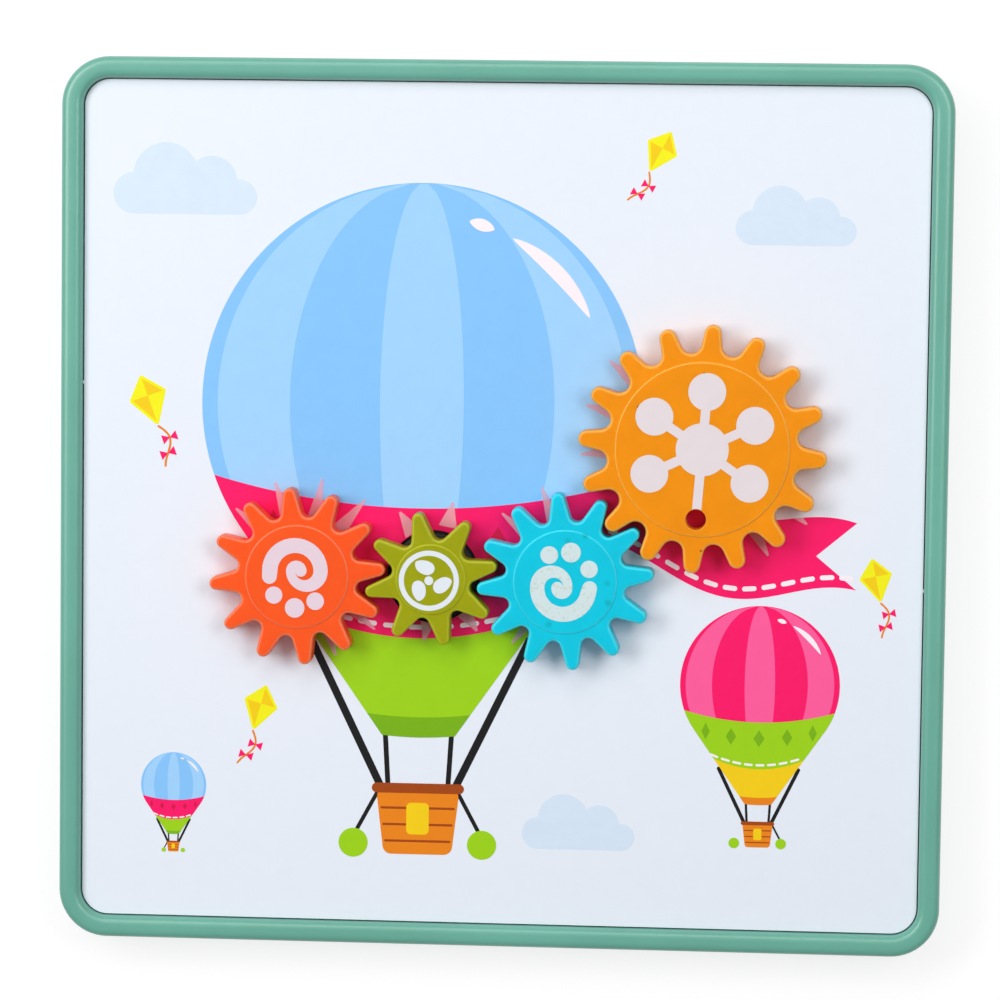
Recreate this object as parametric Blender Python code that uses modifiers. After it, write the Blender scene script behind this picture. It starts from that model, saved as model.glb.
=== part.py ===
"""Gear puzzle: a square board with four meshing gears over a picture card.

The board lies flat on its back. +Z is out of the picture, +Y is up in the picture and
+X is to its right. The origin is the middle of the back, on the surface it lies on.
All sizes are in metres.
"""
import math

import bmesh
import bpy
from mathutils import Vector

# General fits
CLEARANCE = 0.0003          # gap between pieces that touch or are cut to each other
RUNNING_CLEARANCE = 0.0003  # radial gap of a gear on its peg and a peg in its socket

# Board outline and frame section
BOARD_SIDE = 0.265          # outer side of the square frame
FRAME_DEPTH = 0.018         # back to crown of the frame's bead
CORNER_RADIUS = 0.0145      # outer corners, in plan
BEZEL_WIDTH = 0.0064        # width of the bead, seen from the front
BEAD_HEIGHT = 0.0032        # height of the rounded part of the bead
FRAME_WALL = 0.0018         # wall of the hollow bead
LEDGE_REACH = 0.0040        # how far the board's ledge stands in from the bead
LEDGE_THICKNESS = 0.0022    # thickness of that ledge
FOOT_CHAMFER = 0.0005       # small chamfer at the foot of the outer wall

# Picture card, peg board and back cover
CARD_RECESS = 0.0035        # crown of the bead down to the card's face
CARD_THICKNESS = 0.0010     # paperboard
CARD_GAP = 0.0005           # dark line round the card
WINDOW_RADIUS = 0.0139      # round window in the card at each gear
BOARD_PLATE = 0.0025        # peg board's plate
COVER_PLATE = 0.0020        # back cover's plate
COVER_RIM_WALL = 0.0016     # rim on the cover that holds up the frame's ledge

# Peg grid: gears stand on a square grid, a little low on the board
GRID_PITCH = 0.040          # distance between neighbouring grid places
GRID_DROP = 0.0013          # grid's middle below the board's middle

# Axle pegs
PEG_PLUG_RADIUS = 0.0040    # plug in the peg board's socket
PLUG_CHAMFER = 0.0010       # at the plug's end
FLANGE_GAP = 0.0010         # flange of the peg inside the card's window
PEG_FLANGE_THICKNESS = 0.0014
AXLE_RADIUS = 0.0032        # upper part, where the gear turns
SNAP_BEAD = 0.0005          # bead that keeps the gear on its axle
SNAP_BEAD_TAPER = 0.0010    # length of the bead's slope down to the axle
SNAP_BEAD_DOWN = 0.0016     # bead's middle below the axle's top
PEG_SLOT_WIDTH = 0.0008     # slot that lets the snap end give
PEG_SLOT_DEPTH = 0.0042
SOCKET_WALL = 0.0022        # wall of a socket under the peg board
SOCKET_FLOOR_WALL = 0.0018  # closed end of a socket
SOCKET_FLOOR_GAP = 0.0005   # plug's end above the socket's floor
SOCKET_MOUTH_CHAMFER = 0.0006

# Gears: heights and mould walls
GEAR_HEIGHT = 0.0084        # toothed body
GEAR_TOP_WALL = 0.0022      # closed face over the hollow underside
GEAR_RIM_WALL = 0.0022      # wall between the roots of the teeth and the hollow
GEAR_HUB_WALL = 0.0026      # wall of the hub round the bore
GEAR_RIB_WIDTH = 0.0016     # ribs between hub and rim
GEAR_RIBS = 6
EDGE_CHAMFER = 0.0007       # round the teeth, top and bottom
DISC_HEIGHT = 0.0005        # raised disc on the face
DISC_CHAMFER = 0.0003
AXLE_END_GAP = 0.0004       # top of the axle to the end of the bore

# Tooth forms. Heights, widths and radii are in modules (pitch diameter over tooth count).
# tip: tooth tip beyond the pitch circle; share: tooth width over the circular pitch;
# slope: flank's angle to the tooth's middle; disc: edge of the raised disc inside the roots
TOOTH_FORMS = {
    8: {"tip": 1.00, "share": 0.380, "slope": math.radians(13.5), "disc": 0.30},
    12: {"tip": 0.60, "share": 0.335, "slope": math.radians(11.4), "disc": 0.60},
    16: {"tip": 1.20, "share": 0.450, "slope": math.radians(8.2), "disc": 0.60},
}
TIP_CLEARANCE = 0.0018      # tip of one gear to the root of the next

# Gears in mesh order: name, tooth count, grid column and row
GEAR_PLACES = (
    ("coral", 12, -1.5, -0.5),
    ("olive", 8, -0.5, -0.5),
    ("cyan", 12, 0.5, -0.5),
    ("orange", 16, 1.5, 0.5),
)
FIRST_TOOTH_TURN = math.radians(5.8)  # a coral tooth, from +X
OLIVE_LAG = math.radians(-1.2)        # loose olive gear rests a little back in its play

# Crank hole
CRANKED_GEAR = "orange"
CRANK_HOLE_RADIUS = 0.0030
CRANK_HOLE_REACH = 0.0208             # hole's middle from the gear's middle
CRANK_HOLE_TOOTH = 11                 # tooth that the hole lies under, counted from the first
CRANK_BOSS_WALL = 0.0020
CRANK_HOLE_CHAMFER = 0.0004

# Back screws, on a three by three grid
SCREW_COUNT_SIDE = 3
SCREW_INSET = 0.0205                  # outer screws from the board's edge
SCREW_SHANK_RADIUS = 0.0014
SCREW_HEAD_RADIUS = 0.0028
SCREW_HEAD_HEIGHT = 0.0016
SCREW_HEAD_CHAMFER = 0.0007
SCREW_LENGTH = 0.0078                 # under the head
SCREW_POINT = 0.0014
SCREW_SUNK = 0.0005                   # head below the cover's face
SCREW_SLOT_WIDTH = 0.0009
SCREW_SLOT_LENGTH = 0.0034
SCREW_SLOT_DEPTH = 0.0009
SCREW_HOLE_CLEARANCE = 0.0003
SCREW_BOSS_WALL = 0.0018

# Smoothness
CORNER_STEPS = 6            # per quarter turn, frame and plates
WINDOW_STEPS = 32
ROUND_STEPS = 16            # bores, pegs and sockets
SMALL_STEPS = 10            # screws and their holes
TIP_STEPS = 4
VALLEY_STEPS = 3
DISC_STEPS = 36
POCKET_STEPS = 5
BEAD_STEPS = 6

# Levels, from the back up
BACK_Z = 0.0
COVER_TOP = BACK_Z + COVER_PLATE
CARD_TOP = FRAME_DEPTH - CARD_RECESS
CARD_BASE = CARD_TOP - CARD_THICKNESS
BOARD_TOP = CARD_BASE - CLEARANCE
BOARD_BASE = BOARD_TOP - BOARD_PLATE
LEDGE_TOP = BOARD_BASE - CLEARANCE
LEDGE_BASE = LEDGE_TOP - LEDGE_THICKNESS
FLANGE_BASE = BOARD_TOP + CLEARANCE
FLANGE_TOP = FLANGE_BASE + PEG_FLANGE_THICKNESS
SOCKET_BASE = COVER_TOP + CLEARANCE
SOCKET_FLOOR = SOCKET_BASE + SOCKET_FLOOR_WALL
PLUG_BASE = SOCKET_FLOOR + SOCKET_FLOOR_GAP
GEAR_BASE = FLANGE_TOP + CLEARANCE
GEAR_TOP = GEAR_BASE + GEAR_HEIGHT
GEAR_CEILING = GEAR_TOP - GEAR_TOP_WALL
AXLE_TOP = GEAR_CEILING - AXLE_END_GAP
SNAP_LEVEL = AXLE_TOP - SNAP_BEAD_DOWN
SCREW_HEAD_BASE = BACK_Z + SCREW_SUNK
SCREW_HEAD_TOP = SCREW_HEAD_BASE + SCREW_HEAD_HEIGHT
SCREW_SEAT = SCREW_HEAD_TOP + CLEARANCE
SCREW_TIP = SCREW_HEAD_TOP + SCREW_LENGTH
COVER_BOSS_TOP = SCREW_SEAT + SCREW_BOSS_WALL
BOARD_BOSS_BASE = COVER_BOSS_TOP + CLEARANCE

# Plan sizes that follow
HALF_SIDE = BOARD_SIDE / 2
OPENING_INSET = BEZEL_WIDTH
CARD_INSET = OPENING_INSET + CARD_GAP
BOARD_INSET = OPENING_INSET + CLEARANCE
LEDGE_INSET = OPENING_INSET + LEDGE_REACH
COVER_INSET = FRAME_WALL + CLEARANCE
PEG_FLANGE_RADIUS = WINDOW_RADIUS - FLANGE_GAP
SOCKET_RADIUS = PEG_PLUG_RADIUS + RUNNING_CLEARANCE
BORE_RADIUS = AXLE_RADIUS + RUNNING_CLEARANCE
HUB_RADIUS = BORE_RADIUS + SNAP_BEAD + GEAR_HUB_WALL
SCREW_HOLE_RADIUS = SCREW_SHANK_RADIUS + SCREW_HOLE_CLEARANCE
SCREW_CUP_RADIUS = SCREW_HEAD_RADIUS + SCREW_HOLE_CLEARANCE
MODULE = 2 * GRID_PITCH / (GEAR_PLACES[0][1] + GEAR_PLACES[1][1])
CUT_OVER = 0.001            # how far a cutter runs past the face it opens
WELD_DISTANCE = 0.000001    # points nearer than this become one
SHARP_ANGLE = math.radians(30)

COLOURS = {
    "frame_green": ((0.150, 0.447, 0.342), 0.38),
    "card_white": ((0.850, 0.880, 0.930), 0.45),
    "board_black": ((0.022, 0.024, 0.027), 0.50),
    "coral": ((1.000, 0.115, 0.035), 0.32),
    "olive": ((0.300, 0.325, 0.002), 0.32),
    "cyan": ((0.000, 0.630, 0.820), 0.32),
    "orange": ((0.870, 0.290, 0.002), 0.32),
    "screw_steel": ((0.450, 0.450, 0.470), 0.35),
}


def clear_scene():
    """Remove what the scene holds and make the two collections."""
    for item in list(bpy.data.objects):
        bpy.data.objects.remove(item, do_unlink=True)
    scene = bpy.context.scene
    parts = bpy.data.collections.new("gear_puzzle")
    cutters = bpy.data.collections.new("cutters")
    scene.collection.children.link(parts)
    scene.collection.children.link(cutters)
    return parts, cutters


def make_material(name):
    """A Principled material in the colour of that name."""
    colour, roughness = COLOURS[name]
    made = bpy.data.materials.new(name)
    made.use_nodes = True
    shader = made.node_tree.nodes["Principled BSDF"]
    shader.inputs["Base Color"].default_value = (*colour, 1.0)
    shader.inputs["Roughness"].default_value = roughness
    shader.inputs["Metallic"].default_value = 1.0 if name == "screw_steel" else 0.0
    return made


def place(mesh, name, collection, location=(0, 0, 0), finish=None):
    """Put a mesh in the scene as a named object."""
    made = bpy.data.objects.new(name, mesh)
    made.location = location
    collection.objects.link(made)
    if finish is not None:
        mesh.materials.append(finish)
        mesh.shade_smooth()
        mesh.set_sharp_from_angle(angle=SHARP_ANGLE)
    return made


def hide_cutter(cutter):
    """A cutter shows as wire and doesn't render."""
    cutter.hide_render = True
    cutter.display_type = "WIRE"
    return cutter


def combine(target, tool, operation):
    """Cut a solid with another one, or join them."""
    step = target.modifiers.new(operation.lower() + "_" + tool.name, "BOOLEAN")
    step.operation = operation
    step.object = tool
    step.solver = "EXACT"


def mesh_of(source, name):
    """The evaluated mesh of an object, welded, in its own space; the object is removed."""
    bpy.context.view_layer.update()
    graph = bpy.context.evaluated_depsgraph_get()
    mesh = bpy.data.meshes.new_from_object(source.evaluated_get(graph))
    work = bmesh.new()
    work.from_mesh(mesh)
    bmesh.ops.remove_doubles(work, verts=work.verts, dist=WELD_DISTANCE)
    bmesh.ops.recalc_face_normals(work, faces=work.faces)
    work.to_mesh(mesh)
    work.free()
    mesh.name = name
    bpy.data.objects.remove(source, do_unlink=True)
    return mesh


def poly_curve(name, outlines, dimensions="2D"):
    """A curve data block with a closed straight-sided spline for each outline."""
    data = bpy.data.curves.new(name, "CURVE")
    data.dimensions = dimensions
    for outline in outlines:
        spline = data.splines.new("POLY")
        spline.points.add(len(outline) - 1)
        for point, spot in zip(spline.points, outline):
            point.co = (spot[0], spot[1], 0.0, 1.0)
        spline.use_cyclic_u = True
    return data


def plate_mesh(name, outlines, base, top, chamfer=0.0):
    """A flat plate between two levels; outlines after the first are holes in it."""
    data = poly_curve(name, outlines)
    data.fill_mode = "BOTH"
    data.extrude = (top - base) / 2 - chamfer
    if chamfer:
        data.bevel_depth = chamfer
        data.bevel_resolution = 0
        data.offset = -chamfer
    source = bpy.data.objects.new(name, data)
    bpy.context.scene.collection.objects.link(source)
    mesh = mesh_of(source, name)
    middle = (top + base) / 2
    for vertex in mesh.vertices:
        vertex.co.z += middle
    return mesh


def turned_mesh(name, profile, steps):
    """A solid of revolution about Z; the profile runs down its outer side, top to bottom."""
    work = bmesh.new()
    spots = [work.verts.new((radius, 0.0, level)) for radius, level in profile]
    for start, end in zip(spots, spots[1:]):
        work.edges.new((start, end))
    mesh = bpy.data.meshes.new(name)
    work.to_mesh(mesh)
    work.free()
    source = bpy.data.objects.new(name, mesh)
    bpy.context.scene.collection.objects.link(source)
    screw = source.modifiers.new("turn", "SCREW")
    screw.steps = steps
    screw.render_steps = steps
    screw.use_merge_vertices = True
    screw.merge_threshold = 10 * WELD_DISTANCE
    return mesh_of(source, name)


def circle(radius, steps, middle=(0.0, 0.0)):
    """Points round a circle."""
    turns = [2 * math.pi * step / steps for step in range(steps)]
    return [(middle[0] + radius * math.cos(t), middle[1] + radius * math.sin(t)) for t in turns]


def rounded_square(inset):
    """The board's outline, drawn in by an inset; the corner arcs share their middles."""
    reach = HALF_SIDE - CORNER_RADIUS
    radius = CORNER_RADIUS - inset
    points = []
    for quarter in range(4):
        start = quarter * math.pi / 2
        middle_x = reach * (1 if quarter in (0, 3) else -1)
        middle_y = reach * (1 if quarter in (0, 1) else -1)
        for step in range(CORNER_STEPS + 1):
            turn = start + step * math.pi / 2 / CORNER_STEPS
            points.append((middle_x + radius * math.cos(turn), middle_y + radius * math.sin(turn)))
    return points


def box_mesh(name, low, high):
    """A box between two corners."""
    work = bmesh.new()
    bmesh.ops.create_cube(work, size=1.0)
    size = Vector(high) - Vector(low)
    middle = (Vector(high) + Vector(low)) / 2
    bmesh.ops.scale(work, vec=size, verts=work.verts)
    bmesh.ops.translate(work, vec=middle, verts=work.verts)
    mesh = bpy.data.meshes.new(name)
    work.to_mesh(mesh)
    work.free()
    return mesh


def joined_mesh(name, meshes):
    """Several bodies in one mesh, for use as a tool."""
    work = bmesh.new()
    for mesh in meshes:
        work.from_mesh(mesh)
        bpy.data.meshes.remove(mesh)
    joined = bpy.data.meshes.new(name)
    work.to_mesh(joined)
    work.free()
    return joined


def moved(mesh, x, y):
    """Shift a mesh in plan."""
    for vertex in mesh.vertices:
        vertex.co.x += x
        vertex.co.y += y
    return mesh


# Frame

def frame_section():
    """Closed section of the hollow frame: inset from the outer face, level."""
    spring = FRAME_DEPTH - BEAD_HEIGHT
    half = BEZEL_WIDTH / 2
    hollow_half = half - FRAME_WALL
    hollow_top = FRAME_DEPTH - FRAME_WALL
    section = [(FOOT_CHAMFER, BACK_Z), (0.0, BACK_Z + FOOT_CHAMFER)]
    for step in range(BEAD_STEPS + 1):
        turn = math.pi * (1 - step / BEAD_STEPS)
        section.append((half + half * math.cos(turn), spring + BEAD_HEIGHT * math.sin(turn)))
    section += [(OPENING_INSET, LEDGE_TOP), (LEDGE_INSET, LEDGE_TOP), (LEDGE_INSET, LEDGE_BASE)]
    section.append((OPENING_INSET - FRAME_WALL, LEDGE_BASE))
    section.append((half + hollow_half, spring))
    section.append((half, hollow_top))
    section.append((half - hollow_half, spring))
    section.append((FRAME_WALL, BACK_Z))
    return section


def make_outer_frame(parts, finish):
    """The green frame, its section swept round the rounded square."""
    path = poly_curve("frame_path", [rounded_square(0.0)])
    section = poly_curve("frame_section", [frame_section()])
    section_object = bpy.data.objects.new("frame_section", section)
    path_object = bpy.data.objects.new("frame_path", path)
    bpy.context.scene.collection.objects.link(section_object)
    bpy.context.scene.collection.objects.link(path_object)
    path.bevel_mode = "OBJECT"
    path.bevel_object = section_object
    mesh = mesh_of(path_object, "outer_frame")
    bpy.data.objects.remove(section_object, do_unlink=True)
    return place(mesh, "outer_frame", parts, finish=finish)


# Plates: picture card, peg board and back cover

def gear_centre(column, row):
    """Where a grid place lies on the board."""
    return column * GRID_PITCH, row * GRID_PITCH - GRID_DROP


def screw_places():
    """The screws' places on their square grid."""
    reach = HALF_SIDE - SCREW_INSET
    last = SCREW_COUNT_SIDE - 1
    spots = [reach * (2 * step / last - 1) for step in range(SCREW_COUNT_SIDE)]
    return [(x, y) for y in spots for x in spots]


def make_picture_card(parts, finish):
    """The card, with a round window at each gear."""
    windows = [
        circle(WINDOW_RADIUS, WINDOW_STEPS, gear_centre(column, row))
        for _, _, column, row in GEAR_PLACES
    ]
    mesh = plate_mesh("picture_card", [rounded_square(CARD_INSET)] + windows, CARD_BASE, CARD_TOP)
    return place(mesh, "picture_card", parts, finish=finish)


def make_peg_board(parts, cutters, finish):
    """The dark board with the pegs' sockets and the screw bosses under its plate."""
    plate = plate_mesh("peg_board", [rounded_square(BOARD_INSET)], BOARD_BASE, BOARD_TOP)
    board = place(plate, "peg_board", parts, finish=finish)
    buried = BOARD_BASE + BOARD_PLATE / 2
    centres = [gear_centre(column, row) for _, _, column, row in GEAR_PLACES]

    sockets = [
        moved(turned_mesh("socket", [
            (0.0, buried),
            (SOCKET_RADIUS + SOCKET_WALL, buried),
            (SOCKET_RADIUS + SOCKET_WALL, SOCKET_BASE),
            (0.0, SOCKET_BASE),
        ], ROUND_STEPS), *centre)
        for centre in centres
    ]
    bosses = [
        moved(turned_mesh("boss", [
            (0.0, buried),
            (SCREW_HOLE_RADIUS + SCREW_BOSS_WALL, buried),
            (SCREW_HOLE_RADIUS + SCREW_BOSS_WALL, BOARD_BOSS_BASE),
            (0.0, BOARD_BOSS_BASE),
        ], SMALL_STEPS), *spot)
        for spot in screw_places()
    ]
    added = place(joined_mesh("board_bosses", sockets + bosses), "board_bosses", cutters)
    combine(board, hide_cutter(added), "UNION")

    mouth = SOCKET_RADIUS + SOCKET_MOUTH_CHAMFER
    bores = [
        moved(turned_mesh("socket_bore", [
            (0.0, BOARD_TOP + CUT_OVER),
            (mouth + CUT_OVER, BOARD_TOP + CUT_OVER),
            (SOCKET_RADIUS, BOARD_TOP - SOCKET_MOUTH_CHAMFER),
            (SOCKET_RADIUS, SOCKET_FLOOR),
            (0.0, SOCKET_FLOOR),
        ], ROUND_STEPS), *centre)
        for centre in centres
    ]
    pilots = [
        moved(turned_mesh("pilot", [
            (0.0, SCREW_TIP + CLEARANCE),
            (SCREW_HOLE_RADIUS, SCREW_TIP + CLEARANCE),
            (SCREW_HOLE_RADIUS, BOARD_BOSS_BASE - CUT_OVER),
            (0.0, BOARD_BOSS_BASE - CUT_OVER),
        ], SMALL_STEPS), *spot)
        for spot in screw_places()
    ]
    removed = place(joined_mesh("board_holes", bores + pilots), "board_holes", cutters)
    combine(board, hide_cutter(removed), "DIFFERENCE")
    return board


def make_back_cover(parts, cutters, finish):
    """The cover that closes the back, with a rim under the frame's ledge and screw cups."""
    plate = plate_mesh("back_cover", [rounded_square(COVER_INSET)], BACK_Z, COVER_TOP)
    cover = place(plate, "back_cover", parts, finish=finish)
    buried = BACK_Z + COVER_PLATE / 2
    rim_inset = OPENING_INSET
    rim_outlines = [rounded_square(rim_inset), rounded_square(rim_inset + COVER_RIM_WALL)]
    rim_mesh = plate_mesh("cover_rim", rim_outlines, buried, LEDGE_BASE - CLEARANCE)
    combine(cover, hide_cutter(place(rim_mesh, "cover_rim", cutters)), "UNION")
    cups = [
        moved(turned_mesh("cup", [
            (0.0, COVER_BOSS_TOP),
            (SCREW_CUP_RADIUS + SCREW_BOSS_WALL, COVER_BOSS_TOP),
            (SCREW_CUP_RADIUS + SCREW_BOSS_WALL, buried),
            (0.0, buried),
        ], SMALL_STEPS), *spot)
        for spot in screw_places()
    ]
    combine(cover, hide_cutter(place(joined_mesh("cover_cups", cups), "cover_cups", cutters)), "UNION")
    holes = [
        moved(turned_mesh("screw_hole", [
            (0.0, COVER_BOSS_TOP + CUT_OVER),
            (SCREW_HOLE_RADIUS, COVER_BOSS_TOP + CUT_OVER),
            (SCREW_HOLE_RADIUS, SCREW_SEAT),
            (SCREW_CUP_RADIUS, SCREW_SEAT),
            (SCREW_CUP_RADIUS, BACK_Z - CUT_OVER),
            (0.0, BACK_Z - CUT_OVER),
        ], SMALL_STEPS), *spot)
        for spot in screw_places()
    ]
    removed = place(joined_mesh("cover_holes", holes), "cover_holes", cutters)
    combine(cover, hide_cutter(removed), "DIFFERENCE")
    return cover


def make_back_screws(parts, cutters, finish):
    """Pan-head screws that hold the cover, each with a cross slot in its head."""
    shank = turned_mesh("back_screw", [
        (0.0, SCREW_TIP),
        (SCREW_SHANK_RADIUS, SCREW_TIP - SCREW_POINT),
        (SCREW_SHANK_RADIUS, SCREW_HEAD_TOP),
        (SCREW_HEAD_RADIUS, SCREW_HEAD_TOP),
        (SCREW_HEAD_RADIUS, SCREW_HEAD_BASE + SCREW_HEAD_CHAMFER),
        (SCREW_HEAD_RADIUS - SCREW_HEAD_CHAMFER, SCREW_HEAD_BASE),
        (0.0, SCREW_HEAD_BASE),
    ], SMALL_STEPS)
    length = SCREW_SLOT_LENGTH / 2
    width = SCREW_SLOT_WIDTH / 2
    bottom = SCREW_HEAD_BASE - CUT_OVER
    depth = SCREW_HEAD_BASE + SCREW_SLOT_DEPTH
    bars = [
        box_mesh("slot", (-length, -width, bottom), (length, width, depth)),
        box_mesh("slot", (-width, -length, bottom), (width, length, depth)),
    ]
    slot = hide_cutter(place(bars[0], "screw_slot", cutters))
    crossing = hide_cutter(place(bars[1], "screw_slot_across", cutters))
    pattern = place(shank, "screw_pattern", cutters)
    combine(pattern, slot, "DIFFERENCE")
    combine(pattern, crossing, "DIFFERENCE")
    mesh = mesh_of(pattern, "back_screw")
    for number, (x, y) in enumerate(screw_places(), start=1):
        place(mesh, f"back_screw_{number}", parts, (x, y, 0.0))
    mesh.materials.append(finish)
    mesh.shade_smooth()
    mesh.set_sharp_from_angle(angle=SHARP_ANGLE)


# Axle pegs

def peg_profile():
    """Turned outline of a peg, from the snap end down to the plug's end."""
    return [
        (0.0, AXLE_TOP),
        (AXLE_RADIUS - SNAP_BEAD, AXLE_TOP),
        (AXLE_RADIUS + SNAP_BEAD, SNAP_LEVEL),
        (AXLE_RADIUS, SNAP_LEVEL - SNAP_BEAD_TAPER),
        (AXLE_RADIUS, FLANGE_TOP),
        (PEG_FLANGE_RADIUS - CLEARANCE, FLANGE_TOP),
        (PEG_FLANGE_RADIUS, FLANGE_TOP - CLEARANCE),
        (PEG_FLANGE_RADIUS, FLANGE_BASE),
        (PEG_PLUG_RADIUS, FLANGE_BASE),
        (PEG_PLUG_RADIUS, PLUG_BASE + PLUG_CHAMFER),
        (PEG_PLUG_RADIUS - PLUG_CHAMFER, PLUG_BASE),
        (0.0, PLUG_BASE),
    ]


def make_axle_peg(parts, cutters, colour, centre, finish):
    """One peg: plug, flange and slotted snap axle, turned in one piece."""
    mesh = turned_mesh(f"{colour}_axle_peg", peg_profile(), ROUND_STEPS)
    peg = place(mesh, f"{colour}_axle_peg", parts, (*centre, 0.0), finish)
    reach = AXLE_RADIUS + SNAP_BEAD + CUT_OVER
    low = (-reach, -PEG_SLOT_WIDTH / 2, AXLE_TOP - PEG_SLOT_DEPTH)
    high = (reach, PEG_SLOT_WIDTH / 2, AXLE_TOP + CUT_OVER)
    slot_mesh = box_mesh("peg_slot", low, high)
    slot = hide_cutter(place(slot_mesh, f"{colour}_peg_slot", cutters, (*centre, 0.0)))
    combine(peg, slot, "DIFFERENCE")
    return peg


# Gears

def pitch_radius(teeth):
    """Half the pitch diameter."""
    return MODULE * teeth / 2


def tip_radius(teeth):
    """Out to the tips of the teeth."""
    return pitch_radius(teeth) + TOOTH_FORMS[teeth]["tip"] * MODULE


def root_radius(teeth):
    """In to the valleys, clear of the tips of every gear this one meshes with."""
    rooms = []
    for here, there in zip(GEAR_PLACES, GEAR_PLACES[1:]):
        distance = math.hypot(here[2] - there[2], here[3] - there[3]) * GRID_PITCH
        for own, mate in ((here, there), (there, here)):
            if own[1] == teeth:
                rooms.append(distance - tip_radius(mate[1]) - TIP_CLEARANCE)
    return min(rooms)


def tooth_turns():
    """Each gear's first tooth, as an angle from +X: every tooth faces a valley of its mate."""
    turns = {GEAR_PLACES[0][0]: FIRST_TOOTH_TURN}
    for here, there in zip(GEAR_PLACES, GEAR_PLACES[1:]):
        line = math.atan2(there[3] - here[3], there[2] - here[2])
        own_pitch = 2 * math.pi / here[1]
        mate_pitch = 2 * math.pi / there[1]
        share = (turns[here[0]] - line) / own_pitch
        turns[there[0]] = (line + math.pi + (0.5 - share) * mate_pitch) % mate_pitch
    turns["olive"] += OLIVE_LAG
    return turns


def tooth_outline(teeth, turn):
    """Toothed outline: a round tip, straight flanks and a round valley for every tooth."""
    form = TOOTH_FORMS[teeth]
    pitch = pitch_radius(teeth)
    tip = tip_radius(teeth)
    root = root_radius(teeth)
    slope = form["slope"]
    half_pitch = math.pi / teeth
    half_width = form["share"] * math.pi * MODULE / 2
    flank = half_width * math.cos(slope) + pitch * math.sin(slope)
    tip_round = (flank - tip * math.sin(slope)) / (1 - math.sin(slope))
    spread = math.sin(slope + half_pitch)
    valley_round = (root * spread - flank) / (1 - spread)
    facing = math.pi / 2 - slope
    points = []
    for tooth in range(teeth):
        middle = turn + 2 * half_pitch * tooth
        for step in range(TIP_STEPS + 1):
            angle = middle + facing * (2 * step / TIP_STEPS - 1)
            points.append((
                (tip - tip_round) * math.cos(middle) + tip_round * math.cos(angle),
                (tip - tip_round) * math.sin(middle) + tip_round * math.sin(angle),
            ))
        valley = middle + half_pitch
        sweep = facing - half_pitch
        for step in range(VALLEY_STEPS + 1):
            angle = valley + math.pi - sweep * (2 * step / VALLEY_STEPS - 1)
            points.append((
                (root + valley_round) * math.cos(valley) + valley_round * math.cos(angle),
                (root + valley_round) * math.sin(valley) + valley_round * math.sin(angle),
            ))
    return points


def pocket_outline(inner, outer, number, turn):
    """One hollow between two ribs: an arc along the rim and one along the hub."""
    pitch = 2 * math.pi / GEAR_RIBS
    middle = turn + (number + 0.5) * pitch
    points = []
    for radius, order in ((outer, 1), (inner, -1)):
        reach = pitch / 2 - math.asin(GEAR_RIB_WIDTH / 2 / radius)
        for step in range(POCKET_STEPS + 1):
            angle = middle + order * reach * (2 * step / POCKET_STEPS - 1)
            points.append((radius * math.cos(angle), radius * math.sin(angle)))
    return points


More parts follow.
